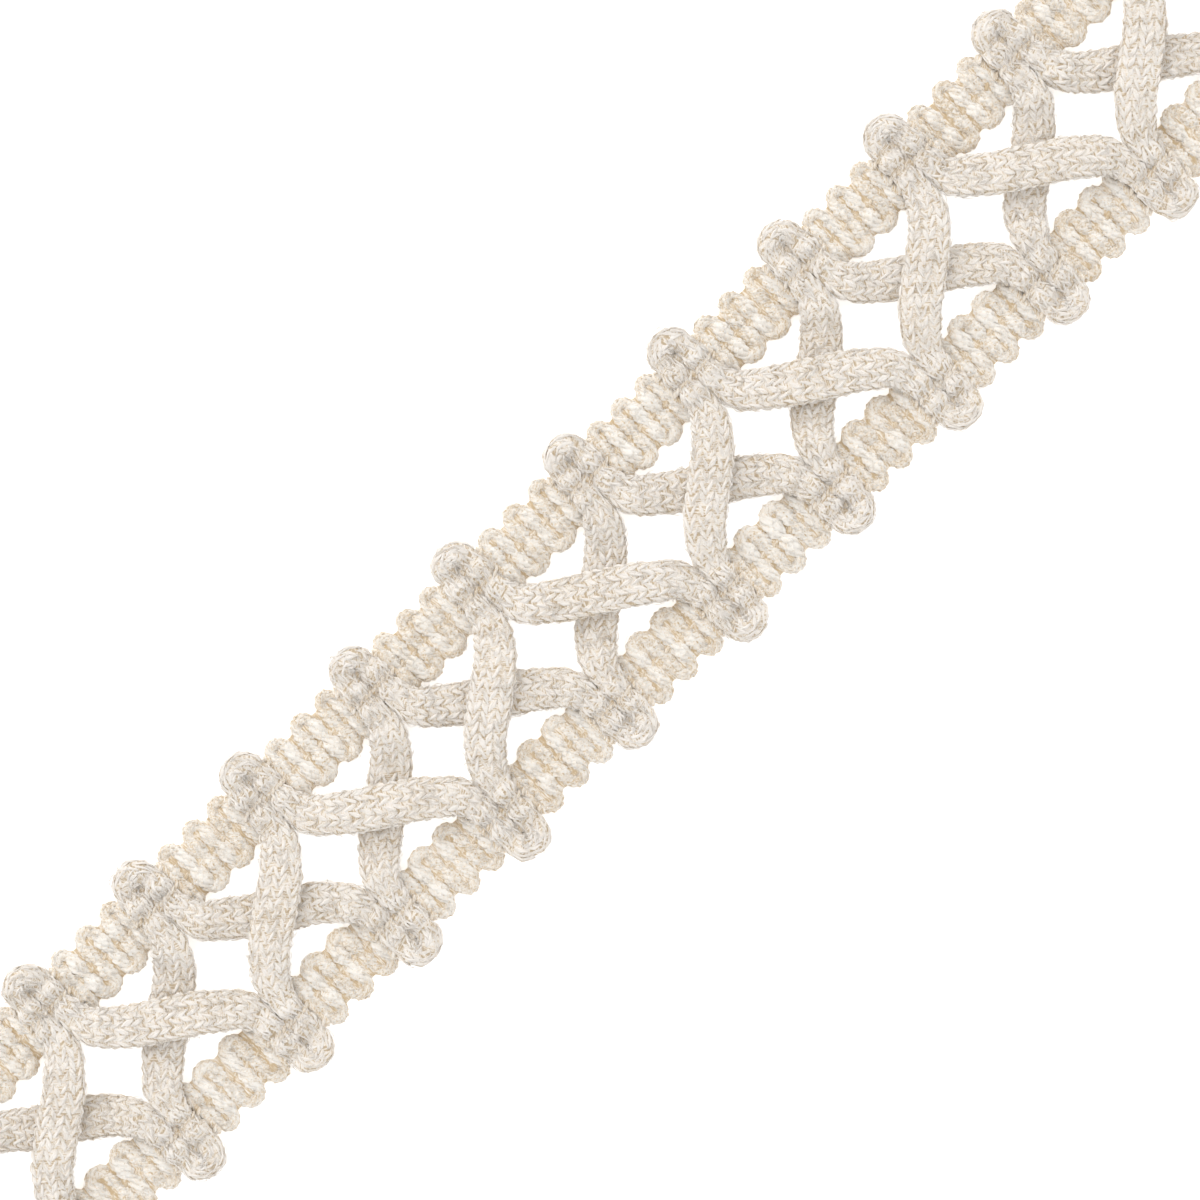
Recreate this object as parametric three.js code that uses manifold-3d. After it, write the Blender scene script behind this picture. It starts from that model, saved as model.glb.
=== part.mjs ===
// Openwork braid trim: a cut length lying flat, in millimetres.
// X runs along the trim, Y across it and Z up. The origin is at the middle of the underside.
import * as THREE from 'three';
import { mergeVertices } from 'three/addons/utils/BufferGeometryUtils.js';
import Module from 'manifold-3d';

const wasm = await Module();
wasm.setup();

// Driving dimensions
const PITCH = 27;              // one repeat along the trim
const PICOTS_PER_EDGE = 14;    // a picot is the cord's small round loop at the edge
const END_PAST_PICOT = 5.5;    // from the last picot to the cut end
const EDGE_SHIFT = 1;          // edge A lies this far back along the trim, and edge B this far ahead

// A gimp band, measured from the trim's centre line
const CHAIN_OUTER = 20;        // the three lines of chain stitch that bind it
const CHAIN_MIDDLE = 15.8;
const CHAIN_INNER = 11.6;
const OUTER_LOOP = 22;         // crest and valley of the gimp's loops at the outer edge
const OUTER_VALLEY = 21.1;
const INNER_LOOP = 9.5;        // crest and valley of the gimp's loops at the inner edge
const INNER_VALLEY = 10.3;
const ROW_TOP = 2.9;           // height of a row of gimp
const DIP_TOP = 2.3;           // height between two rows
const PRESSED_TOP = 2.2;       // height where a knitted cord lies over the band
const EDGE_SLOPE = 0.7;        // the top is this much narrower than the underside, at each edge

// A knitted cord's way at a picot, measured from the picot's middle
const LEG_OFFSET = 2.5;        // its two legs over the band
const ARCH_RADIUS = 2.6;       // the middle line of its arch
const LEAVING = { along: 3.4, across: 8.9 };
const SLOPE = { along: 6.9, across: 4.9 };
const SECTION_SIDES = 8;
const WASTE = 60;              // a block this big takes off what is past a cut end

// The rows of gimp in one repeat, from one picot to the next
const rowPlaces = [2.2, 5.9, 8.94, 11.98, 15.02, 18.06, 21.1, 24.8];

// How far each picot strays from its even place along the trim, and how far out it reaches
const picots = [
  { driftA: 0.0, driftB: -0.4, reachA: 25.2, reachB: 25.4 },
  { driftA: 0.1, driftB: -0.6, reachA: 25.0, reachB: 25.2 },
  { driftA: 0.1, driftB: -0.8, reachA: 25.3, reachB: 25.5 },
  { driftA: 0.0, driftB: -0.4, reachA: 24.9, reachB: 25.4 },
  { driftA: 0.1, driftB: -0.3, reachA: 25.1, reachB: 25.5 },
  { driftA: 0.4, driftB: -0.3, reachA: 25.0, reachB: 25.6 },
  { driftA: -0.5, driftB: 0.3, reachA: 25.4, reachB: 25.0 },
  { driftA: 0.2, driftB: 0.8, reachA: 25.1, reachB: 25.2 },
  { driftA: -0.2, driftB: 0.8, reachA: 25.6, reachB: 24.9 },
  { driftA: 0.4, driftB: 0.5, reachA: 25.4, reachB: 25.1 },
  { driftA: 0.0, driftB: 0.4, reachA: 25.6, reachB: 25.0 },
  { driftA: -0.1, driftB: 0.3, reachA: 25.3, reachB: 25.2 },
  { driftA: 0.0, driftB: 0.1, reachA: 25.1, reachB: 25.4 },
  { driftA: 0.1, driftB: 0.0, reachA: 25.3, reachB: 25.1 },
];

// A knitted cord's section along its way: width, thickness and height of its underside
const atChain = { width: 4.1, thick: 3.3, under: 2.6 };
const atArchSide = { width: 4.1, thick: 3.7, under: 2.5 };
const atArchTop = { width: 4.1, thick: 4.0, under: 2.1 };
const atLeaving = { width: 5.9, thick: 3.8, under: 2.8 };
const cordLevels = {
  under: {
    slope: { width: 7.8, thick: 4.0, under: 0 },
    crossing: { width: 8.1, thick: 3.9, under: 0 },
  },
  over: {
    slope: { width: 7.8, thick: 4.0, under: 4.2 },
    crossing: { width: 8.1, thick: 4.0, under: 4.25 },
  },
};

const halfLength = (PICOTS_PER_EDGE - 1) / 2 * PITCH + END_PAST_PICOT;

// Where a picot stands. The side is 1 on edge A, towards +Y, and -1 on edge B. The places just
// past the two ends carry on in even steps.
function picotPlace(index, side) {
  const even = (index - (PICOTS_PER_EDGE - 1) / 2) * PITCH;
  const row = picots[THREE.MathUtils.clamp(index, 0, PICOTS_PER_EDGE - 1)];
  return even - side * EDGE_SHIFT + (side > 0 ? row.driftA : row.driftB);
}

function picotReach(index, side) {
  return side > 0 ? picots[index].reachA : picots[index].reachB;
}

// A closed body through rings that hold the same number of points, with flat ends. Seen from
// ahead, each ring runs anticlockwise.
function loft(rings) {
  const count = rings[0].length;
  const places = rings.flat().flatMap((point) => point.toArray());
  const faces = [];
  for (let ring = 0; ring + 1 < rings.length; ring++) {
    for (let i = 0; i < count; i++) {
      const here = ring * count + i;
      const beside = ring * count + (i + 1) % count;
      faces.push(here, beside, beside + count);
      faces.push(here, beside + count, here + count);
    }
  }
  const last = (rings.length - 1) * count;
  for (let i = 1; i + 1 < count; i++) {
    faces.push(0, i + 1, i);
    faces.push(last, last + i, last + i + 1);
  }
  const geometry = new THREE.BufferGeometry();
  geometry.setAttribute('position', new THREE.Float32BufferAttribute(places, 3));
  geometry.setIndex(faces);
  geometry.computeVertexNormals();
  return geometry;
}

function solidOf(geometry) {
  const bare = geometry.clone();
  bare.deleteAttribute('normal');
  bare.deleteAttribute('uv');
  const merged = mergeVertices(bare);
  return new wasm.Manifold(new wasm.Mesh({
    numProp: 3,
    vertProperties: new Float32Array(merged.attributes.position.array),
    triVerts: new Uint32Array(merged.index.array),
  }));
}

// Cuts a body square across the trim at both ends
function cutToLength(geometry) {
  const waste = new THREE.BoxGeometry(WASTE, WASTE, WASTE);
  const ahead = solidOf(waste.clone().translate(halfLength + WASTE / 2, 0, 0));
  const behind = solidOf(waste.clone().translate(-halfLength - WASTE / 2, 0, 0));
  const mesh = solidOf(geometry).subtract(ahead).subtract(behind).getMesh();
  const cut = new THREE.BufferGeometry();
  cut.setAttribute('position', new THREE.Float32BufferAttribute(mesh.vertProperties, 3));
  cut.setIndex(Array.from(mesh.triVerts));
  cut.computeVertexNormals();
  return cut;
}

// A gimp band has a station on each row of gimp and one between each two rows. There the gimp
// turns in a loop, at the outer and the inner edge by turns, with one outer loop under each picot.
function bandStations(side) {
  const stations = [];
  const rows = rowPlaces.length;
  for (let index = -1; index < PICOTS_PER_EDGE; index++) {
    const start = picotPlace(index, side);
    const stretch = (picotPlace(index + 1, side) - start) / PITCH;
    for (let row = 0; row < rows; row++) {
      const next = row + 1 < rows ? rowPlaces[row + 1] : PITCH + rowPlaces[0];
      const steps = Math.min(row, rows - 1 - row);
      stations.push({
        x: start + rowPlaces[row] * stretch,
        outer: (OUTER_LOOP + OUTER_VALLEY) / 2,
        inner: (INNER_LOOP + INNER_VALLEY) / 2,
        outerTop: steps < 1 ? PRESSED_TOP : ROW_TOP,
        innerTop: steps < 2 ? PRESSED_TOP : ROW_TOP,
      });
      const turnsOutside = row % 2 === 1;
      const dip = row === 0 || row >= rows - 2 ? PRESSED_TOP : DIP_TOP;
      stations.push({
        x: start + (rowPlaces[row] + next) / 2 * stretch,
        outer: turnsOutside ? OUTER_LOOP : OUTER_VALLEY,
        inner: turnsOutside ? INNER_VALLEY : INNER_LOOP,
        outerTop: dip,
        innerTop: dip,
      });
    }
  }
  return stations;
}

function bandRing(station, side) {
  const corners = [
    [station.inner, 0],
    [station.outer, 0],
    [station.outer - EDGE_SLOPE, station.outerTop],
    [station.inner + EDGE_SLOPE, station.innerTop],
  ];
  const ring = corners.map(([across, up]) => new THREE.Vector3(station.x, side * across, up));
  return side > 0 ? ring : ring.reverse();
}

function gimpBand(side) {
  return cutToLength(loft(bandStations(side).map((station) => bandRing(station, side))));
}

// A knitted cord at one picot: up to the band, over it, round the arch and back
function picotStations(index, side) {
  const middle = picotPlace(index, side);
  const archAt = picotReach(index, side) - atArchTop.width / 2 - ARCH_RADIUS;
  const bow = ARCH_RADIUS * Math.SQRT1_2;
  const coming = [
    { along: -LEAVING.along, across: LEAVING.across, ...atLeaving },
    { along: -LEG_OFFSET, across: CHAIN_INNER, ...atChain },
    { along: -LEG_OFFSET, across: CHAIN_MIDDLE, ...atChain },
    { along: -LEG_OFFSET, across: CHAIN_OUTER, ...atChain },
    { along: -bow, across: archAt + bow, ...atArchSide },
  ];
  const top = { along: 0, across: archAt + ARCH_RADIUS, ...atArchTop };
  const going = coming.map((station) => ({ ...station, along: -station.along })).reverse();
  return [...coming, top, ...going].map(({ along, across, ...size }) => (
    { x: middle + along, y: side * across, ...size }
  ));
}

// From one picot to the next, on the other edge: down the slope, through the crossing and on
function crossingStations(index, side, level) {
  const from = picotPlace(index, side);
  const to = picotPlace(index + 1, -side);
  const at = (share) => THREE.MathUtils.lerp(from, to, share);
  const share = SLOPE.along / PITCH;
  return [
    { x: at(share), y: side * SLOPE.across, ...level.slope },
    { x: at(0.5), y: 0, ...level.crossing },
    { x: at(1 - share), y: -side * SLOPE.across, ...level.slope },
  ];
}

// The side is the edge that the cord's first picot is on
function cordStations(firstSide, level) {
  const stations = crossingStations(-1, -firstSide, level);
  for (let index = 0; index < PICOTS_PER_EDGE; index++) {
    const side = index % 2 === 0 ? firstSide : -firstSide;
    stations.push(...picotStations(index, side));
    stations.push(...crossingStations(index, side, level));
  }
  return stations;
}

// An eight-sided section across the cord, flat on top and underneath
function cordRing(stations, index) {
  const station = stations[index];
  const before = stations[Math.max(index - 1, 0)];
  const after = stations[Math.min(index + 1, stations.length - 1)];
  const heading = new THREE.Vector2(after.x - before.x, after.y - before.y).normalize();
  const sideways = new THREE.Vector2(-heading.y, heading.x);
  const toCorner = 1 / Math.cos(Math.PI / SECTION_SIDES);
  return Array.from({ length: SECTION_SIDES }, (_, corner) => {
    const angle = Math.PI / SECTION_SIDES * (2 * corner + 1);
    const out = Math.cos(angle) * toCorner * station.width / 2;
    const up = Math.sin(angle) * toCorner * station.thick / 2;
    return new THREE.Vector3(
      station.x + sideways.x * out,
      station.y + sideways.y * out,
      station.under + station.thick / 2 + up,
    );
  });
}

function knittedCord(firstSide, level) {
  const stations = cordStations(firstSide, level);
  return cutToLength(loft(stations.map((_, index) => cordRing(stations, index))));
}

function piece(name, geometry, color) {
  const material = new THREE.MeshStandardMaterial({ color, roughness: 0.9, metalness: 0 });
  const mesh = new THREE.Mesh(geometry, material);
  mesh.name = name;
  return mesh;
}

const GIMP_COLOR = 0xe9dec6;
const KNIT_COLOR = 0xf1eadc;

const trim = new THREE.Group();
trim.add(piece('gimp_band_a', gimpBand(1), GIMP_COLOR));
trim.add(piece('gimp_band_b', gimpBand(-1), GIMP_COLOR));
trim.add(piece('knit_cord_over', knittedCord(1, cordLevels.over), KNIT_COLOR));
trim.add(piece('knit_cord_under', knittedCord(-1, cordLevels.under), KNIT_COLOR));

export default trim;
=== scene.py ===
"""A cut length of openwork braid trim, lying flat: two gimp bands joined by two knitted cords.

Sizes are in millimetres until a mesh is made, and the frame is the CAD's: X along the trim, Y across it
towards edge A, Z up. The cords and bands are built yarn by yarn, in the space that their solids hold.
"""

import math

import bpy
import numpy as np
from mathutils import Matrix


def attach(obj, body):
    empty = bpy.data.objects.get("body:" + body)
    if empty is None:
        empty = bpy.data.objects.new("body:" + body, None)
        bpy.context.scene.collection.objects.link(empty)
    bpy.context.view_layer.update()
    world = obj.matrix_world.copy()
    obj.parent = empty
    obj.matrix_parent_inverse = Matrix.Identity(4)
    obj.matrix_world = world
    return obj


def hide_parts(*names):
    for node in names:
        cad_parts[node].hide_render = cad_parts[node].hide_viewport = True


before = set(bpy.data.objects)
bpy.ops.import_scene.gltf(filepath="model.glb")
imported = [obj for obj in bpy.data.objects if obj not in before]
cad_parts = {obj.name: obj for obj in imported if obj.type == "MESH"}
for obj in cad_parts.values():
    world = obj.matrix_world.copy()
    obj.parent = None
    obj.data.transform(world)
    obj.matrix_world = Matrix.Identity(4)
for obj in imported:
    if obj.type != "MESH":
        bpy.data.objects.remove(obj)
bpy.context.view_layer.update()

MM = 0.001
SEED = 20
UP = np.array([0.0, 0.0, 1.0])

# The trim's plan, as in the CAD
PITCH = 27.0
PICOTS = 14
END_PAST_PICOT = 5.5
HALF_LENGTH = (PICOTS - 1) / 2 * PITCH + END_PAST_PICOT
CUT_SOFT = 0.4
CUT_STAGGER = 0.15
EDGE_SHIFT = 1.0
CHAINS = (11.6, 15.8, 20.0)
BUMPS = (13.7, 17.9)
LEG_OFFSET = 2.4
ARCH_RADIUS = 2.5
ARCH_HALF_WIDTH = 2.3
LEAVING_ALONG, LEAVING_ACROSS = 3.4, 8.9
SLOPE_ALONG, SLOPE_ACROSS = 6.9, 4.9
ROW_PLACES = (2.2, 5.9, 8.94, 11.98, 15.02, 18.06, 21.1, 24.8)

# How far each picot strays along the trim, and how far out it reaches: edge A's drift and reach, then B's
PICOT_PLACES = (
    (0.0, 25.2, -0.4, 25.4),
    (0.1, 25.0, -0.6, 25.2),
    (0.1, 25.3, -0.8, 25.5),
    (0.0, 24.9, -0.4, 25.4),
    (0.1, 25.1, -0.3, 25.5),
    (0.4, 25.0, -0.3, 25.6),
    (-0.5, 25.4, 0.3, 25.0),
    (0.2, 25.1, 0.8, 25.2),
    (-0.2, 25.6, 0.8, 24.9),
    (0.4, 25.4, 0.5, 25.1),
    (0.0, 25.6, 0.4, 25.0),
    (-0.1, 25.3, 0.3, 25.2),
    (0.0, 25.1, 0.1, 25.4),
    (0.1, 25.3, 0.0, 25.1),
)

# How much further out the picots' fluff reaches than their solids
FLUFF = 0.4

# A knitted cord's width, thickness and the height of its underside, along its way
AT_CHAIN = ((5.8, 3.1, 2.5), (4.3, 2.0, 2.4), (4.5, 2.5, 2.4))
AT_BUMP = (5.3, 4.8, 2.0)
AT_ARCH_SIDE = (5.1, 4.2, 2.2)
AT_ARCH_TOP = (4.9, 4.3, 2.0)
AT_LEAVING = (7.0, 3.9, 2.8)
LEVELS = {
    "under": {"slope": (7.8, 4.0, 0.0), "crossing": (8.1, 3.9, 0.0)},
    "over": {"slope": (7.8, 4.0, 4.2), "crossing": (8.1, 4.0, 4.25)},
}

# Knitting: the wales stand round the cord, and the first of them face up
WALES = 7
FACE_WALES = 4
COURSE = 2.0
STITCH_FROM, STITCH_TO = -0.18, 1.2
STITCH_HIGH = 0.34
LEG_PLIES = {1: (0.5, 0.34, 0.0), 2: (0.3, 0.28, 0.22)}
PLY_TURNS = 0.6
STITCH_DEEP = 0.18

# Fine fibres that stand off the yarns
FIBRE_HALF = 0.05
CORD_FIBRES, BAND_FIBRES = 5000, 3600

# Gimp: a twisted bundle that runs out and back across its band
ROW_FROM, ROW_TO = 11.9, 19.6
LOOP_SWELL, INNER_LOOP_SWELL = 2.0, 1.15
ROW_RADIUS = 1.55
PINCH_RADIUS = 1.0
LOOP_RADIUS = 1.14
INNER_LOOP_RADIUS = 1.3
PRESSED = 0.74
ROW_POINTS, LOOP_POINTS = 9, 7
STRANDS = 6
TWIST_LENGTH = 7.0

# Chain stitches, which hold the rows down: short slanted strands, one after another along the trim
CHAIN_REACH = (0.78, 0.6)
CHAIN_STEP = 1.0
CHAIN_HALF = (0.38, 0.32)

# The ground between the rows
GROUND_ACROSS = (10.4, 21.1)
GROUND_HIGH = (0.3, 1.8)
THREAD = 2.6


# Ways

def picot_place(index, side):
    """Where a picot stands along the trim. The side is 1 on edge A and -1 on edge B."""
    drift_a, _, drift_b, _ = PICOT_PLACES[min(max(index, 0), PICOTS - 1)]
    even = (index - (PICOTS - 1) / 2) * PITCH
    return even - side * EDGE_SHIFT + (drift_a if side > 0 else drift_b)


def picot_reach(index, side):
    _, reach_a, _, reach_b = PICOT_PLACES[index]
    return FLUFF + (reach_a if side > 0 else reach_b)


def slip(index, side, hand):
    """How far out the crease between the two bumps of one leg of a picot has slipped."""
    return 0.3 * math.sin(2.1 * index + 1.3 * side + 2.6 * hand)


def picot_stations(index, side):
    """A knitted cord at one picot: up to the band, over it in two bumps, round the arch and back."""
    middle = picot_place(index, side)
    arch = picot_reach(index, side) - ARCH_HALF_WIDTH - ARCH_RADIUS
    bow = ARCH_RADIUS * math.sqrt(0.5)
    coming = [
        (-LEAVING_ALONG, LEAVING_ACROSS, AT_LEAVING),
        (-LEG_OFFSET - 0.2, CHAINS[0], AT_CHAIN[0]),
        (-LEG_OFFSET, BUMPS[0], AT_BUMP),
        (-LEG_OFFSET, CHAINS[1], AT_CHAIN[1]),
        (-LEG_OFFSET, BUMPS[1], AT_BUMP),
        (-LEG_OFFSET, CHAINS[2], AT_CHAIN[2]),
        (-bow, arch + bow, AT_ARCH_SIDE),
    ]
    whole = []
    for hand in (-1, 1):
        leg = [(-hand * along, across, size) for along, across, size in coming]
        for number, share in ((2, 0.5), (3, 1.0), (4, 0.5)):
            along, across, size = leg[number]
            leg[number] = (along, across + share * slip(index, side, hand), size)
        whole += leg + [(0.0, arch + ARCH_RADIUS, AT_ARCH_TOP)] if hand < 0 else leg[::-1]
    return [(middle + along, side * across, *size) for along, across, size in whole]


def crossing_stations(index, side, level):
    """From one picot to the next, on the other edge."""
    start, end = picot_place(index, side), picot_place(index + 1, -side)
    share = SLOPE_ALONG / PITCH
    return [
        (start + (end - start) * share, side * SLOPE_ACROSS, *level["slope"]),
        ((start + end) / 2, 0.0, *level["crossing"]),
        (end - (end - start) * share, -side * SLOPE_ACROSS, *level["slope"]),
    ]


def cord_stations(first_side, level):
    stations = crossing_stations(-1, -first_side, level)
    for index in range(PICOTS):
        side = first_side if index % 2 == 0 else -first_side
        stations += picot_stations(index, side)
        stations += crossing_stations(index, side, level)
    return np.array(stations)


def smooth(stations, step):
    """A smooth curve through the stations, in every column. Widths and heights don't swing past them."""
    gaps = np.hypot(*np.diff(stations[:, :2], axis=0).T)[:, None]
    rise = np.diff(stations, axis=0) / gaps
    slopes = np.empty_like(stations)
    slopes[1:-1] = (rise[:-1] * gaps[1:] + rise[1:] * gaps[:-1]) / (gaps[1:] + gaps[:-1])
    slopes[0], slopes[-1] = rise[0], rise[-1]
    slopes[1:-1, 2:][rise[:-1, 2:] * rise[1:, 2:] <= 0] = 0
    reach = np.r_[0, np.cumsum(gaps)]
    places = np.arange(0, reach[-1], step)
    leg = np.clip(np.searchsorted(reach, places, side="right") - 1, 0, len(gaps) - 1)
    h = gaps[leg]
    t = (places - reach[leg])[:, None] / h
    return (
        (2 * t**3 - 3 * t**2 + 1) * stations[leg]
        + (t**3 - 2 * t**2 + t) * h * slopes[leg]
        + (3 * t**2 - 2 * t**3) * stations[leg + 1]
        + (t**3 - t**2) * h * slopes[leg + 1]
    )


def unit(v):
    return v / np.maximum(np.linalg.norm(v, axis=-1, keepdims=True), 1e-9)


def wander(rng, places, length, waves=5):
    """A smooth random value between about -1 and 1, which changes over roughly this length."""
    total = np.zeros_like(places)
    for k in range(waves):
        wave = length * 2 ** rng.uniform(-0.7, 1.2)
        total += np.sin(2 * math.pi * (places / wave + rng.uniform()))
    return total / waves**0.5 / 1.2


class CordSkin:
    """The oval skin of a knitted cord. A point on it is so far along the cord, and a share of the way
    round it: 0 at one side, a quarter at the top, a half at the other side."""

    SHAPES = np.linspace(0.35, 1.25, 19)
    SPOTS = 720

    def __init__(self, first_side, level):
        line = smooth(cord_stations(first_side, level), 0.1)
        line = line[np.abs(line[:, 0]) < HALF_LENGTH + 2.5]
        middle = np.c_[line[:, :2], line[:, 4] + line[:, 3] / 2]
        heading = unit(np.gradient(middle[:, :2], axis=0))
        sideways = np.c_[-heading[:, 1], heading[:, 0], np.zeros(len(line))]
        self.along = np.r_[0, np.cumsum(np.linalg.norm(np.diff(middle, axis=0), axis=1))]
        self.columns = np.c_[middle, sideways, line[:, 2:4] / 2].T
        angles = np.linspace(0, 2 * math.pi, self.SPOTS + 1)
        turns = []
        for shape in self.SHAPES:
            steps = np.hypot(np.diff(np.cos(angles)), shape * np.diff(np.sin(angles)))
            share = np.r_[0, np.cumsum(steps)] / steps.sum()
            turns.append(np.interp(np.linspace(0, 1, self.SPOTS + 1), share, angles))
        self.turns = np.array(turns)

    def at(self, along, around, lift):
        """Points lifted off the skin, the way out of it, and the skin's girth there."""
        columns = [np.interp(along, self.along, c) for c in self.columns]
        middle, sideways = np.stack(columns[:3], -1), np.stack(columns[3:6], -1)
        wide, high = columns[6:]
        row = (high / wide - self.SHAPES[0]) / (self.SHAPES[1] - self.SHAPES[0])
        row = np.clip(row, 0, len(self.SHAPES) - 1.001)
        low, mix = row.astype(int), row % 1
        spot = np.rint((around % 1) * self.SPOTS).astype(int)
        angle = self.turns[low, spot] * (1 - mix) + self.turns[low + 1, spot] * mix
        flat, rise = np.cos(angle), np.sin(angle)
        out = unit(sideways * (flat * high)[..., None] + UP * (rise * wide)[..., None])
        skin = middle + sideways * (flat * wide)[..., None] + UP * (rise * high)[..., None]
        girth = math.pi * (3 * (wide + high) - np.sqrt((3 * wide + high) * (wide + 3 * high)))
        return skin + out * lift[..., None], out, girth


# Yarns

def cut_off(places, heading, cut):
    """Slides what is past a cut end back to it, along the strand. A strand that runs along the cut stays."""
    over = np.maximum(np.abs(places[..., :1]) - cut, 0)
    over = over - CUT_STAGGER * (1 - np.exp(-over / 2))
    forward = heading[..., :1]
    slide = over * forward / np.maximum(forward**2, 0.09)
    return places - heading * np.sign(places[..., :1]) * slide


class Yarns:
    """Strands for one mesh. Each is a closed tube that ends in a tip."""

    def __init__(self, seed):
        self.rng = np.random.default_rng(seed)
        self.places, self.fibre, self.tint, self.open = [], [], [], []
        self.faces = {4: [], 3: []}
        self.cells = {4: [], 3: []}
        self.count, self.cell_count = 0, 0

    def add(self, middle, out, wide, high, tint, painted_light, sides, ply=4.0, per_cell=16):
        """Strands by their middle lines (strand, point, xyz), with the way out, half sizes, a tint and the
        painted light of each point, which is low where it is hidden: painted shade. The ply is the length in
        which the strand's own fibres go once round it."""
        kept = (np.abs(middle[..., 0]) < HALF_LENGTH - 0.2).any(axis=1)
        middle, out, wide, high, tint, painted_light = (
            np.broadcast_to(v, middle.shape[:v.ndim])[kept] for v in (middle, out, wide, high, tint, painted_light)
        )
        strands, points, _ = middle.shape
        rings = points - 2
        heading = unit(np.gradient(middle, axis=1))
        across = unit(np.cross(heading, out))
        angle = math.pi / 2 + 2 * math.pi * np.arange(sides) / sides
        flat, rise = np.cos(angle), np.sin(angle)
        body = (
            middle[:, 1:-1, None]
            + across[:, 1:-1, None] * (wide[:, 1:-1, None] * flat)[..., None]
            + out[:, 1:-1, None] * (high[:, 1:-1, None] * rise)[..., None]
        )
        step = np.linalg.norm(np.diff(middle, axis=1), axis=2)
        length = np.concatenate([np.zeros((strands, 1)), np.cumsum(step, axis=1)], axis=1)
        start_along = self.rng.uniform(0, 500, (strands, 1))
        twist = length[:, 1:-1, None] * 2 * math.pi / ply + angle
        fibre = np.stack([
            np.broadcast_to((start_along + length)[:, 1:-1, None], twist.shape), np.cos(twist), np.sin(twist)
        ], axis=-1)
        tips = (start_along + length)[:, [0, -1], None] * np.array([1.0, 0.0, 0.0])

        def with_tips(ringed, at_tips):
            ringed = ringed.reshape(strands, rings * sides, -1)
            both = np.concatenate([ringed, at_tips.reshape(strands, 2, -1)], axis=1)
            return both.reshape(-1, ringed.shape[-1])

        stagger = (np.arange(1, strands + 1) * 0.618) % 1
        cut = (HALF_LENGTH - CUT_SOFT - CUT_STAGGER * (1 + stagger)).reshape(-1, 1, 1)
        body = cut_off(body, heading[:, 1:-1, None], cut[..., None])
        self.places.append(with_tips(body, cut_off(middle[:, [0, -1]], heading[:, [0, -1]], cut)))
        self.fibre.append(with_tips(fibre, tips))
        self.tint.append(with_tips(np.repeat(tint[:, 1:-1], sides, axis=1), tint[:, [0, -1]]))
        # Painted shade: the top of each strand gets more painted light than its sides and underside.
        self.open.append(with_tips(painted_light[:, 1:-1, None] + 0.3 * rise, painted_light[:, [0, -1]]))

        size = rings * sides + 2
        start = self.count + size * np.arange(strands)
        cells = -(-(points - 1) // per_cell)
        first_cell = self.cell_count + cells * np.arange(strands)

        def lay_out(s, segment, point, turn):
            """Each stretch of strand has a cell of its own in the baked map."""
            cell = first_cell[s] + segment // per_cell
            down = (point - (segment // per_cell * per_cell)[..., None]) / per_cell
            cell = np.broadcast_to(cell[..., None], down.shape)
            return np.stack([cell, down, turn / sides], axis=-1).reshape(-1, 3)

        s, i, j = np.meshgrid(np.arange(strands), np.arange(rings - 1), np.arange(sides), indexing="ij")
        a = start[s] + i * sides + j
        b = start[s] + i * sides + (j + 1) % sides
        self.faces[4].append(np.stack([a, a + sides, b + sides, b], axis=-1).reshape(-1, 4))
        self.cells[4].append(lay_out(s, i + 1, np.stack([i, i + 1, i + 1, i], -1) + 1,
                                     np.stack([j, j, j + 1, j + 1], -1)))
        s, j = np.meshgrid(np.arange(strands), np.arange(sides), indexing="ij")
        for last in (0, 1):
            tip = start[s] + rings * sides + last
            ring = start[s] + (rings - 1) * sides * last
            a, b = ring + j, ring + (j + 1) % sides
            near = np.full_like(s, 1 + last * (points - 3))
            far = np.full_like(s, last * (points - 1))
            turns = [j + 0.5, j + 1, j] if last else [j + 0.5, j, j + 1]
            self.faces[3].append(np.stack([tip, b, a] if last else [tip, a, b], axis=-1).reshape(-1, 3))
            self.cells[3].append(lay_out(s, np.full_like(s, last * (points - 2)),
                                         np.stack([far, near, near], -1), np.stack(turns, -1)))
        self.count += size * strands
        self.cell_count += cells * strands

    def mesh(self, name):
        """One mesh of all the strands, pressed square at the trim's cut ends and flat where it lies."""
        places = np.concatenate(self.places)
        reach, square = np.abs(places[:, 0]), HALF_LENGTH - CUT_SOFT
        at_cut = reach > square - 2 * CUT_STAGGER - 0.01
        past = np.maximum(reach - square, 0)
        reach = np.minimum(reach, square) + CUT_SOFT * (1 - np.exp(-past / CUT_SOFT))
        places[:, 0] = reach * np.sign(places[:, 0])
        places[:, 2] = np.maximum(places[:, 2], 0)
        faces = {n: np.concatenate(self.faces[n]) for n in (4, 3)}
        me = bpy.data.meshes.new(name)
        me.vertices.add(len(places))
        me.vertices.foreach_set("co", (places * MM).astype(np.float32).ravel())
        corners = np.r_[faces[4].ravel(), faces[3].ravel()].astype(np.int32)
        me.loops.add(len(corners))
        me.loops.foreach_set("vertex_index", corners)
        counts = np.r_[np.full(len(faces[4]), 4), np.full(len(faces[3]), 3)]
        me.polygons.add(len(counts))
        me.polygons.foreach_set("loop_start", np.r_[0, np.cumsum(counts)[:-1]].astype(np.int32))
        me.polygons.foreach_set("use_smooth", ~np.r_[tuple(at_cut[faces[n]].all(axis=1) for n in (4, 3))])
        me.update(calc_edges=True)

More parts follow.
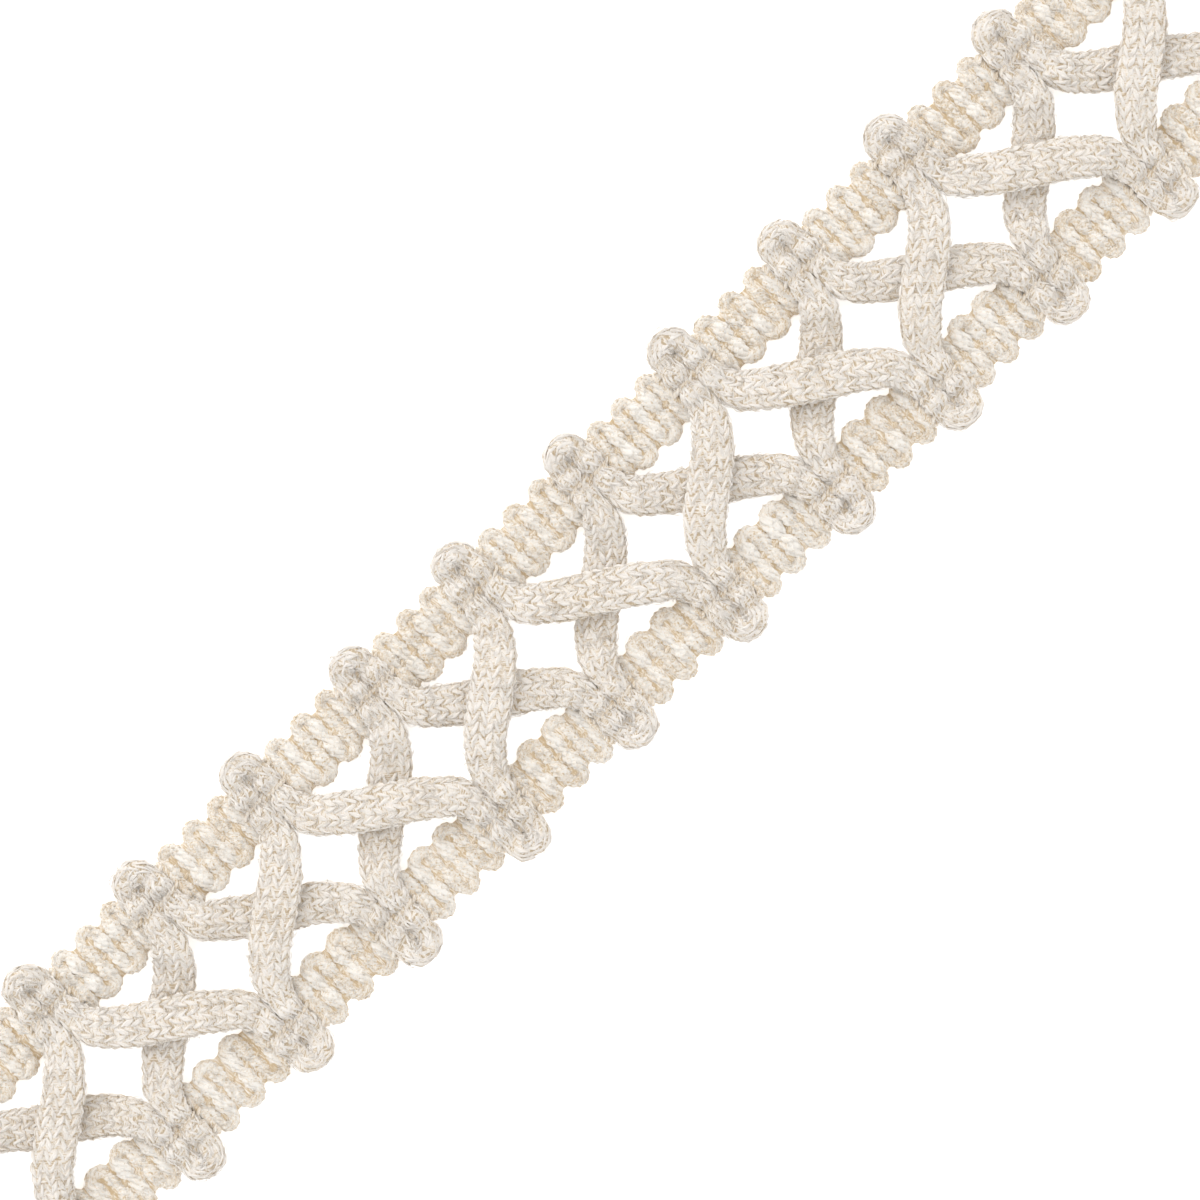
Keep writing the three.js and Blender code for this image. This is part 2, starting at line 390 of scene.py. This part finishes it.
        cell, down, across = np.concatenate(self.cells[4] + self.cells[3]).T
        side, margin = math.ceil(math.sqrt(self.cell_count)), 0.1
        laid = np.c_[
            cell % side + margin + (1 - 2 * margin) * down,
            cell // side + margin + (1 - 2 * margin) * across,
        ] / side
        me.uv_layers.new(name="OFBake").uv.foreach_set("vector", laid.astype(np.float32).ravel())
        for label, values in (("tint", self.tint), ("open", self.open)):
            attribute = me.attributes.new(label, "FLOAT", "POINT")
            attribute.data.foreach_set("value", np.concatenate(values).astype(np.float32).ravel())
        attribute = me.attributes.new("fibre", "FLOAT_VECTOR", "POINT")
        attribute.data.foreach_set("vector", np.concatenate(self.fibre).astype(np.float32).ravel())
        return me


def piece(name, me, node, material):
    """Puts a mesh in the scene in a CAD node's stead."""
    ob = bpy.data.objects.new(name, me)
    me.materials.append(material)
    bpy.context.scene.collection.objects.link(ob)
    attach(ob, "root")
    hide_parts(node)
    return ob


# Knitted cords

def knit(yarns, skin, wales, shares, sides, plies):
    """Stitches in these wales, each of two legs that close to a point on the stitch after it. A leg is of
    so many plies, laid round each other. In the gathered nodes and picots they lie more muddled."""
    rng = yarns.rng
    courses = np.arange(int(skin.along[-1] / COURSE) - 1)
    course, wale, hand = (v.reshape(-1, 1) for v in np.meshgrid(courses, wales, (-1, 1), indexing="ij"))
    count = len(course)
    t = np.array(shares)
    grow = STITCH_FROM + (STITCH_TO - STITCH_FROM) * t
    stray = rng.normal(0, 1, (5, count, 1))
    along = (course + 0.29 * wale + 0.07 * stray[0] + grow) * COURSE
    gathered = np.clip((np.abs(np.interp(along, skin.along, skin.columns[1])) - 10.5) / 1.5, 0, 1)
    along = along + gathered * 0.16 * stray[1] * COURSE
    spread = (0.03 + 0.46 * (1 - t)) * hand + gathered * 0.35 * stray[2] * (t - 0.5)
    turn = 0.02 * wander(np.random.default_rng(SEED), along, 60)
    around = (wale + 0.5 + spread + (0.025 + 0.05 * gathered) * stray[3]) / WALES - 0.035 + turn
    plump = np.sin(math.pi * np.clip(t, 0.02, 0.98)) ** 0.55
    lift = -STITCH_HIGH + 0.1 - STITCH_DEEP * (1.4 * (1 - t) ** 2.5 + 0.5 * t**3) + 0.05 * stray[4]
    _, _, girth = skin.at(along, around, lift)
    size = rng.normal(1, 0.1, (count, 1)) * plump * np.clip(girth / 17, 0.75, 1.1)
    # Painted shade: how tightly the cord is pinched here, which darkens its stitches in the creases.
    crease_shade = np.clip((14 - girth) / 2.5, 0, 1)
    # Painted shade: each leg gets less painted light towards its ends, where it sinks in.
    painted_light = np.broadcast_to(0.35 + 0.45 * plump, girth.shape)
    first_turn = rng.uniform(0, 1, (count, 1))
    half, high, apart = LEG_PLIES[plies]
    for ply in range(plies):
        phase = 2 * math.pi * (first_turn + ply / plies + PLY_TURNS * t)
        aside, up = apart * np.cos(phase) * size, apart * np.sin(phase) * size
        middle, out, _ = skin.at(along, around + aside / girth, lift + 0.6 * up)
        # Painted shade: stitches are darker in the creases and on the sides of the cord. Painted light lightens
        # them in the gathered nodes, against the shade there.
        tint = 0.66 + 0.12 * rng.normal(0, 1, (count, 1)) + 0.14 * wander(rng, along, 25) - 0.2 * crease_shade
        tint = tint + 0.2 * (out[..., 2] - 0.7) + 0.15 * gathered
        yarns.add(middle, out, half * size, high * size, tint, painted_light, sides, ply=4.0)


def core(yarns, skin, depth, sides):
    """The inside of a knitted cord, seen only between its stitches."""
    inside = skin.along[np.abs(skin.columns[0]) < HALF_LENGTH + 1.8]
    start, end = inside[0], inside[-1]
    along = np.r_[start, np.linspace(start + 0.02, end - 0.02, int((end - start) / 1.2)), end][None]
    columns = [np.interp(along, skin.along, c) for c in skin.columns]
    middle = np.stack(columns[:3], -1)
    wide, high = columns[6] - depth, columns[7] - depth
    out = np.broadcast_to(UP, middle.shape)
    flat = np.zeros_like(wide)
    # Painted shade: the core is tinted tan and gets less painted light than the stitches, for the shade between
    # them.
    yarns.add(middle, out, wide, high, flat + 0.3, flat + 0.6, sides)


def stray_fibres(rng, count, length):
    """Fine fibres that lie over the yarns: how far each of its points goes forward and aside, its lift, and its
    half width."""
    t = np.array([0.0, 0.33, 0.67, 1.0])
    long = rng.uniform(*length, (count, 1))
    lean = rng.normal(0, 0.8, (count, 1)) + 0.7 * rng.normal(0, 1, (count, 1)) * t
    forward, aside = long * t * np.cos(lean), long * t * np.sin(lean)
    loose = rng.uniform(0, 1, (count, 1)) ** 3
    lift = -0.12 + (0.22 + 0.25 * loose) * np.sin(math.pi * 0.5 * np.minimum(t * 2, 1))
    lift = lift + np.maximum(t - 0.5, 0) * (0.9 * loose - 0.3)
    half = FIBRE_HALF * rng.uniform(0.7, 1.3, (count, 1)) + 0 * t
    return forward, aside, lift, half


def fuzz_on_cord(yarns, skin, count):
    rng = yarns.rng
    forward, aside, lift, half = stray_fibres(rng, count, (1.2, 3.2))
    start = rng.uniform(0, skin.along[-1] - 4, (count, 1))
    girth = 17.0
    around = rng.uniform(-0.07, 0.57, (count, 1)) + aside / girth
    middle, out, _ = skin.at(start + forward, around, lift)
    tint = rng.choice([0.4, 0.7, 0.9], (count, 1)) + 0 * half
    yarns.add(middle, out, half, half, tint, 0 * half + 0.85, sides=3)


# Gimp bands

def gimp_way(side):
    """The middle of one band's gimp, row after row: (along, outwards, half width, half height, twist).
    Also which row stands where."""
    rng = np.random.default_rng(SEED + 7 + side)
    shifts = rng.normal(0, 0.1, (PICOTS + 1, len(ROW_PLACES)))
    rows = []
    for index in range(-1, PICOTS):
        start, end = picot_place(index, side), picot_place(index + 1, side)
        for number, place in enumerate(ROW_PLACES):
            at = start + (end - start) * (place + shifts[index + 1, number]) / PITCH
            if abs(at) < HALF_LENGTH:
                rows.append((number, at))
    way = []
    for (number, at), (_, after) in zip(rows, rows[1:] + [(None, None)]):
        outwards = number % 2 == 1
        under_cord = number in (0, len(ROW_PLACES) - 1)
        v = np.linspace(ROW_FROM, ROW_TO, ROW_POINTS)
        v = v if outwards else v[::-1]
        swell = np.abs(np.sin(math.pi * (v - CHAINS[0]) / (CHAINS[1] - CHAINS[0]))) ** 0.45
        fullness = np.where(v < CHAINS[1], rng.normal(1, 0.06), rng.normal(1, 0.06))
        radius = PINCH_RADIUS + (ROW_RADIUS * fullness - PINCH_RADIUS) * swell
        pressed = PRESSED if under_cord else 1.0
        twist = 1.0 if outwards else 0.55
        for v_, r in zip(v, radius):
            way.append((at, v_, r, r * pressed, twist))
        if after is None:
            continue
        reach, turn_at = (after - at) / 2, v[-1]
        swell, loop = (LOOP_SWELL, LOOP_RADIUS) if outwards else (-INNER_LOOP_SWELL, INNER_LOOP_RADIUS)
        pressed = PRESSED if outwards and number == len(ROW_PLACES) - 1 else 1.0
        for k in range(1, LOOP_POINTS + 1):
            angle = math.pi * k / (LOOP_POINTS + 1)
            way.append((
                at + reach * (1 - math.cos(angle)), turn_at + swell * math.sin(angle),
                loop, loop * pressed, 1.2,
            ))
    return np.array(way), rows


def gimp_rows(yarns, side):
    way, rows = gimp_way(side)
    rng = yarns.rng
    along, outwards, wide, high, twist = way.T
    lift = np.convolve(np.pad(high, 1, "edge"), (0.25, 0.5, 0.25), "valid")
    middle = np.c_[along, side * outwards, lift + 0.03]
    heading = unit(np.gradient(middle[:, :2], axis=0))
    across = np.c_[-heading[:, 1], heading[:, 0], np.zeros(len(way))]
    step = np.linalg.norm(np.diff(middle, axis=0), axis=1)
    turn = np.r_[0, np.cumsum(step * (twist[1:] + twist[:-1]) / 2)] * 2 * math.pi / TWIST_LENGTH
    angle = -turn + 2 * math.pi * np.arange(STRANDS)[:, None] / STRANDS
    flat, rise = np.cos(angle)[..., None], np.sin(angle)[..., None]
    centre = middle + across * flat * 0.72 * wide[:, None] + UP * rise * 0.62 * high[:, None]
    centre = centre + rng.normal(0, 0.03, centre.shape)
    out = unit(across * flat * high[:, None] + UP * rise * wide[:, None])
    half = np.broadcast_to(0.54 * wide, angle.shape)
    tall = np.broadcast_to(0.36 * (wide + high) / 2, angle.shape)
    # Rows that run inwards are lighter than rows that run outwards.
    row_tone = np.where(twist < 1, 0.16, -0.05)
    tint = 0.62 + rng.permutation(np.linspace(-0.08, 0.1, STRANDS))[:, None] + row_tone
    tint = tint + 0.12 * wander(rng, np.broadcast_to(along, angle.shape), 30)
    # Painted shade: strands lower in the row get less painted light.
    painted_light = np.clip(-0.15 + 1.2 * centre[..., 2] / (2 * ROW_RADIUS), 0.15, 1)
    yarns.add(centre, out, half, tall, tint, painted_light, sides=4)
    # Painted shade: a dark tan bundle with no painted light in the middle of each row, seen between its strands.
    dull = np.zeros((1, len(way)))
    yarns.add(middle[None], np.broadcast_to(UP, middle.shape)[None], dull + 0.85 * wide, dull + 0.75 * high,
              dull + 0.1, dull, sides=4)
    return rows


def fuzz_on_band(yarns, side, count):
    way, _ = gimp_way(side)
    rng = yarns.rng
    reach = np.r_[0, np.cumsum(np.hypot(*np.diff(way[:, :2], axis=0).T))]
    heading = unit(np.gradient(way[:, :2] * (1, side), axis=0))
    forward, aside, lift, half = stray_fibres(rng, count, (0.8, 2.2))
    start = rng.uniform(0, reach[-1] - 3, (count, 1)) + forward
    x, y, wide, high, hx, hy = (
        np.interp(start, reach, c) for c in (way[:, 0], side * way[:, 1], way[:, 2], way[:, 3], *heading.T)
    )
    angle = rng.uniform(0.1, 0.9, (count, 1)) * math.pi + aside / 1.4
    across = np.stack([-hy, hx, 0 * hx], -1)
    flat, rise = np.cos(angle)[..., None], np.sin(angle)[..., None]
    out = unit(across * flat * high[..., None] + UP * rise * wide[..., None])
    skin = np.stack([x, y, high], -1) + across * flat * wide[..., None] + UP * rise * high[..., None]
    tint = rng.choice([0.45, 0.7, 0.9], (count, 1)) + 0 * half
    yarns.add(skin + out * lift[..., None], out, half, half, tint, 0 * half + 0.85, sides=3)


def chain_stitches(yarns, side, rows):
    """Slanted strands that hold each row down, and hold down the knitted cord where it lies over one."""
    rng = yarns.rng
    spots = []
    for chain, (width, thick, under) in zip(CHAINS, AT_CHAIN):
        for number, at in rows:
            if number in (0, len(ROW_PLACES) - 1):
                hand = 1 if number == 0 else -1
                leg = at + (LEG_OFFSET - ROW_PLACES[0]) * hand
                index = round(at / PITCH + (PICOTS - 1) / 2)
                if chain == CHAINS[1]:
                    out = chain + slip(index, side, hand)
                    spots += [(leg, k * CHAIN_STEP, out, width / 2, under + thick / 2 - 0.1, thick / 2)
                              for k in (-1.5, -0.5, 0.5, 1.5)]
                spots += [(leg, aside, chain, 3.4, 2.1, 1.7) for aside in (-2.4, 2.4)]
            elif chain == CHAINS[1]:
                spots += [(at, aside, chain, 1.9, 1.05, 1.0) for aside in (-1.45, 1.45)]
    middle, aside, chain, half, base, rise = np.array(spots).T[..., None]
    t = np.linspace(-1, 1, 6)
    reach_x, reach_y = CHAIN_REACH
    off = aside + reach_x * t + rng.normal(0, 0.1, aside.shape)
    dome = np.sqrt(np.maximum(1 - (off / (half + 0.1)) ** 2, 0.02))
    x = middle + off
    y = side * chain + reach_y * t + rng.normal(0, 0.08, aside.shape)
    z = base + rise * dome + 0.12 - 0.4 * np.abs(t) ** 3
    out = unit(np.stack([off / half, 0 * off, dome + 0.4], -1))
    size = np.cos(0.5 * math.pi * np.clip(np.abs(t), 0, 0.9)) ** 0.4 * rng.normal(1, 0.08, aside.shape)
    # Painted shade: the strands over the rows are the most tan, for the shade in the pinch between their lobes,
    # and each strand gets less painted light towards its ends.
    tint = np.where(half < 2, 0.0, 0.3) + 0.12 * rng.normal(0, 1, aside.shape) + 0 * t
    painted_light = 0.45 + 0.4 * (1 - np.abs(t)) + 0 * aside
    yarns.add(np.stack([x, y, z], -1), out, CHAIN_HALF[0] * size, CHAIN_HALF[1] * size, tint, painted_light, 4)
    # Filler strands in the pits along each picot's pinch. They are tinted tan with little painted light: painted
    # shade in the pits.
    for index in range(PICOTS):
        v = np.linspace(CHAINS[0] + 0.6, CHAINS[2] + 1.4, 16)
        flat = np.zeros((1, len(v)))
        for aside, z, wide, high in ((-4.9, 1.9, 0.9, 1.2), (0.0, 2.6, 1.1, 1.5), (4.9, 1.9, 0.9, 1.2)):
            x = np.clip(picot_place(index, side) + aside + 0 * v, -HALF_LENGTH + wide, HALF_LENGTH - wide)
            line = np.c_[x, side * v, z + 0.1 * rng.normal(0, 1, len(v))][None]
            yarns.add(line, np.broadcast_to(UP, line.shape), flat + wide, flat + high, flat + 0.35, flat + 0.6, 6)


def ground(name, side, rows):
    """The ground between the rows: a thin closed strip, a little uneven, cut back between the loops. Its tan is
    painted shade of the gaps between the rows.
    """
    rng = np.random.default_rng(SEED + 10 + side)
    columns = np.linspace(-HALF_LENGTH + 0.3, HALF_LENGTH - 0.3, 360)
    x, share = np.meshgrid(columns, np.linspace(0, 1, 8), indexing="ij")
    edges = []
    for edge, back, outer in ((GROUND_ACROSS[0], 1, 0), (GROUND_ACROSS[1], -1, 1)):
        loops = [(at + after) / 2 for (number, at), (_, after) in zip(rows, rows[1:]) if number % 2 == outer]
        away = np.abs(columns[:, None] - np.array(loops)).min(axis=1)
        edges.append((edge + back * 0.55 * np.clip(away / 2 - 0.3, 0, 1))[:, None])
    v = edges[0] + (edges[1] - edges[0]) * share
    low, high = GROUND_HIGH
    heap = sum(np.exp(-((v - chain) / 0.8) ** 2) for chain in CHAINS)
    top = high + 0.3 * heap + 0.12 * rng.normal(0, 1, x.shape) - 0.7 * (np.abs(share - 0.5) > 0.49)
    places = np.concatenate([
        np.stack([x, side * v, top], -1).reshape(-1, 3),
        np.stack([x, side * v, np.full_like(x, low)], -1).reshape(-1, 3),
    ])
    wide, deep = x.shape
    i, j = np.meshgrid(np.arange(wide - 1), np.arange(deep - 1), indexing="ij")
    a = (i * deep + j).ravel()
    upper = np.stack([a, a + deep, a + deep + 1, a + 1], -1)
    lower = upper[:, ::-1] + wide * deep
    rim = np.r_[
        np.arange(wide) * deep, (wide - 1) * deep + np.arange(1, deep),
        np.arange(wide - 2, -1, -1) * deep + deep - 1, np.arange(deep - 2, 0, -1),
    ]
    after = np.roll(rim, -1)
    wall = np.stack([rim, rim + wide * deep, after + wide * deep, after], -1)
    faces = np.concatenate([upper, lower, wall])
    if side < 0:
        faces = faces[:, ::-1]
    me = bpy.data.meshes.new(name)
    me.from_pydata((places * MM).tolist(), [], faces.tolist())
    me.polygons.foreach_set("use_smooth", np.ones(len(faces), bool))
    # Painted shade: the ground is tinted tan.
    for label, value in (("tint", 0.15), ("open", 0.8)):
        attribute = me.attributes.new(label, "FLOAT", "POINT")
        attribute.data.foreach_set("value", np.full(len(places), value, np.float32))
    attribute = me.attributes.new("fibre", "FLOAT_VECTOR", "POINT")
    turn = 2 * math.pi * places[:, 0] / THREAD
    threads = np.c_[places[:, 1], np.cos(turn), np.sin(turn)]
    attribute.data.foreach_set("vector", threads.astype(np.float32).ravel())
    return me


# Materials

def add_node(tree, kind, inputs=(), **settings):
    node = tree.nodes.new(kind)
    for key, value in settings.items():
        setattr(node, key, value)
    for key, value in dict(inputs).items():
        if isinstance(value, bpy.types.NodeSocket):
            tree.links.new(value, node.inputs[key])
        else:
            node.inputs[key].default_value = value
    return node


def srgb(hexes):
    return tuple((int(hexes[i:i + 2], 16) / 255) ** 2.2 for i in (0, 2, 4)) + (1.0,)


def yarn_material(name, colours, fuzz):
    """Spun yarn in mixed creams with streaks along its fibres, and painted shade: duller and more tan where it is
    hidden.
    """
    material = bpy.data.materials.new(name)
    material.use_nodes = True
    tree = material.node_tree
    shader = tree.nodes["Principled BSDF"]
    fibre = add_node(tree, "ShaderNodeAttribute", attribute_name="fibre").outputs["Vector"]
    tint = add_node(tree, "ShaderNodeAttribute", attribute_name="tint").outputs["Fac"]
    painted_light = add_node(tree, "ShaderNodeAttribute", attribute_name="open").outputs["Fac"]

    def noise(scale, detail):
        stretched = add_node(tree, "ShaderNodeVectorMath", {0: fibre, 1: scale}, operation="MULTIPLY")
        return add_node(tree, "ShaderNodeTexNoise", {
            "Vector": stretched.outputs[0], "Scale": 1.0, "Detail": detail, "Roughness": 0.6,
        }).outputs["Fac"]

    def maths(operation, a, b):
        return add_node(tree, "ShaderNodeMath", {0: a, 1: b}, operation=operation).outputs[0]

    streaks = noise((0.9, 3.0, 3.0), 2.0)
    fibres = noise((1.5, 6.0, 6.0), 1.0)
    turns = add_node(tree, "ShaderNodeSeparateXYZ", {"Vector": fibre}).outputs
    lobes = maths("MULTIPLY", turns["Y"], maths("SUBTRACT", maths(
        "MULTIPLY", maths("MULTIPLY", turns["Y"], turns["Y"]), 4.0), 3.0))
    plies = maths("MULTIPLY", maths("ADD", lobes, 1.0), 0.5)
    mixed = maths("ADD", maths("MULTIPLY", maths("SUBTRACT", streaks, 0.5), 3.2), tint)
    mixed = maths("ADD", mixed, maths("MULTIPLY", maths("SUBTRACT", fibres, 0.5), 0.9))
    # Painted shade: where the painted light is low, the yarn is darker and more tan.
    mixed = maths("ADD", mixed, maths("MULTIPLY", maths("SUBTRACT", painted_light, 0.8), 0.5))
    # Painted shade: the grooves between the plies are darker in colour as well as bumped.
    mixed = maths("ADD", mixed, maths("MULTIPLY", maths("SUBTRACT", plies, 0.5), 0.3))
    ramp = add_node(tree, "ShaderNodeValToRGB", {"Fac": mixed})
    stops = ramp.color_ramp.elements
    for _ in range(len(colours) - 2):
        stops.new(0.5)
    for stop, (place, colour) in zip(stops, colours):
        stop.position, stop.color = place, srgb(colour)
    height = maths("ADD", maths("MULTIPLY", fibres, 0.8), maths("MULTIPLY", plies, 0.6))
    bump = add_node(tree, "ShaderNodeBump", {"Height": height, "Strength": 0.5, "Distance": 0.1 * MM})
    tree.links.new(ramp.outputs["Color"], shader.inputs["Base Color"])
    tree.links.new(maths("ADD", maths("MULTIPLY", fibres, 0.25), 0.7), shader.inputs["Roughness"])
    tree.links.new(bump.outputs["Normal"], shader.inputs["Normal"])
    shader.inputs["Diffuse Roughness"].default_value = 1.0
    shader.inputs["Specular IOR Level"].default_value = 0.2
    shader.inputs["Sheen Weight"].default_value = fuzz
    shader.inputs["Sheen Roughness"].default_value = 0.5
    return material


knit_yarn = yarn_material("knit_yarn", (
    (0.0, "C6B499"), (0.2, "DFD2BE"), (0.4, "EFE8DE"), (0.7, "F2EDE7"), (1.0, "F3EFEA"),
), 0.2)
gimp_yarn = yarn_material("gimp_yarn", (
    (0.0, "D2BD9B"), (0.2, "E6D9C4"), (0.4, "F1E8DC"), (0.7, "F5F0E8"), (1.0, "F6F3EE"),
), 0.2)


# The trim

face_wales = np.arange(FACE_WALES)
back_wales = np.arange(FACE_WALES, WALES)
for node, first_side, level in (("knit_cord_over", 1, "over"), ("knit_cord_under", -1, "under")):
    skin = CordSkin(first_side, LEVELS[level])
    face = Yarns(SEED + 1)
    knit(face, skin, face_wales, (0, 0.15, 0.5, 0.85, 1), sides=4, plies=2)
    piece(f"{node}_face", face.mesh(f"{node}_face"), node, knit_yarn)
    fuzz = Yarns(SEED + 5)
    fuzz_on_cord(fuzz, skin, CORD_FIBRES)
    piece(f"{node}_fuzz", fuzz.mesh(f"{node}_fuzz"), node, knit_yarn)
    back = Yarns(SEED + 2)
    knit(back, skin, back_wales, (0, 0.2, 0.5, 0.8, 1), sides=4, plies=1)
    core(back, skin, 0.36, sides=24)
    piece(f"{node}_back", back.mesh(f"{node}_back"), node, knit_yarn)

for letter, side in (("a", 1), ("b", -1)):
    node = f"gimp_band_{letter}"
    gimp = Yarns(SEED + 3)
    rows = gimp_rows(gimp, side)
    gimp_piece = piece(f"gimp_rows_{letter}", gimp.mesh(f"gimp_rows_{letter}"), node, gimp_yarn)
    chain = Yarns(SEED + 4)
    chain_stitches(chain, side, rows)
    chain_piece = piece(f"chain_{letter}", chain.mesh(f"chain_{letter}"), node, gimp_yarn)
    fuzz = Yarns(SEED + 6)
    fuzz_on_band(fuzz, side, BAND_FIBRES)
    fuzz_piece = piece(f"gimp_fuzz_{letter}", fuzz.mesh(f"gimp_fuzz_{letter}"), node, gimp_yarn)
    strip = piece(f"ground_{letter}", ground(f"ground_{letter}", side, rows), node, gimp_yarn)


# Floor, light and camera

floor_mesh = bpy.data.meshes.new("floor")
floor_mesh.from_pydata([(-3, -3, 0), (3, -3, 0), (3, 3, 0), (-3, 3, 0)], [], [(0, 1, 2, 3)])
glowing_floor = bpy.data.materials.new("floor")
glowing_floor.use_nodes = True
shader = glowing_floor.node_tree.nodes["Principled BSDF"]
shader.inputs["Base Color"].default_value = (0.93, 0.93, 0.93, 1.0)
shader.inputs["Roughness"].default_value = 0.9
# The floor glows: painted light that lifts its shadows to white and lights the trim from below.
shader.inputs["Emission Color"].default_value = (1.0, 1.0, 1.0, 1.0)
shader.inputs["Emission Strength"].default_value = 0.5
floor_mesh.materials.append(glowing_floor)
floor = bpy.data.objects.new("floor", floor_mesh)
bpy.context.scene.collection.objects.link(floor)

scene = bpy.context.scene
scene.world = bpy.data.worlds.new("studio")
scene.world.use_nodes = True
scene.world.node_tree.nodes["Background"].inputs["Color"].default_value = (1.0, 1.0, 1.0, 1.0)
scene.world.node_tree.nodes["Background"].inputs["Strength"].default_value = 1.0
scene.view_settings.view_transform = "Standard"

sun = bpy.data.lights.new("key", "SUN")
sun.energy = 0.85
sun.angle = math.radians(50)
sun.color = (1.0, 0.985, 0.972)
key = bpy.data.objects.new("key", sun)
key.rotation_euler = (math.radians(-42), 0.0, math.radians(-8))
scene.collection.objects.link(key)

TRIM_TURN = math.radians(44.6)
PHOTO_MIDDLE = (-0.9, -1.0)
PHOTO_WIDTH = 214.3
LENS, SENSOR = 100.0, 36.0
lens = bpy.data.cameras.new("camera")
lens.lens, lens.sensor_width = LENS, SENSOR
lens.clip_start, lens.clip_end = 0.01, 20.0
camera = bpy.data.objects.new("camera", lens)
camera.location = (PHOTO_MIDDLE[0] * MM, PHOTO_MIDDLE[1] * MM, (PHOTO_WIDTH * LENS / SENSOR + 4) * MM)
camera.rotation_euler = (0.0, 0.0, -TRIM_TURN)
scene.collection.objects.link(camera)
scene.camera = camera
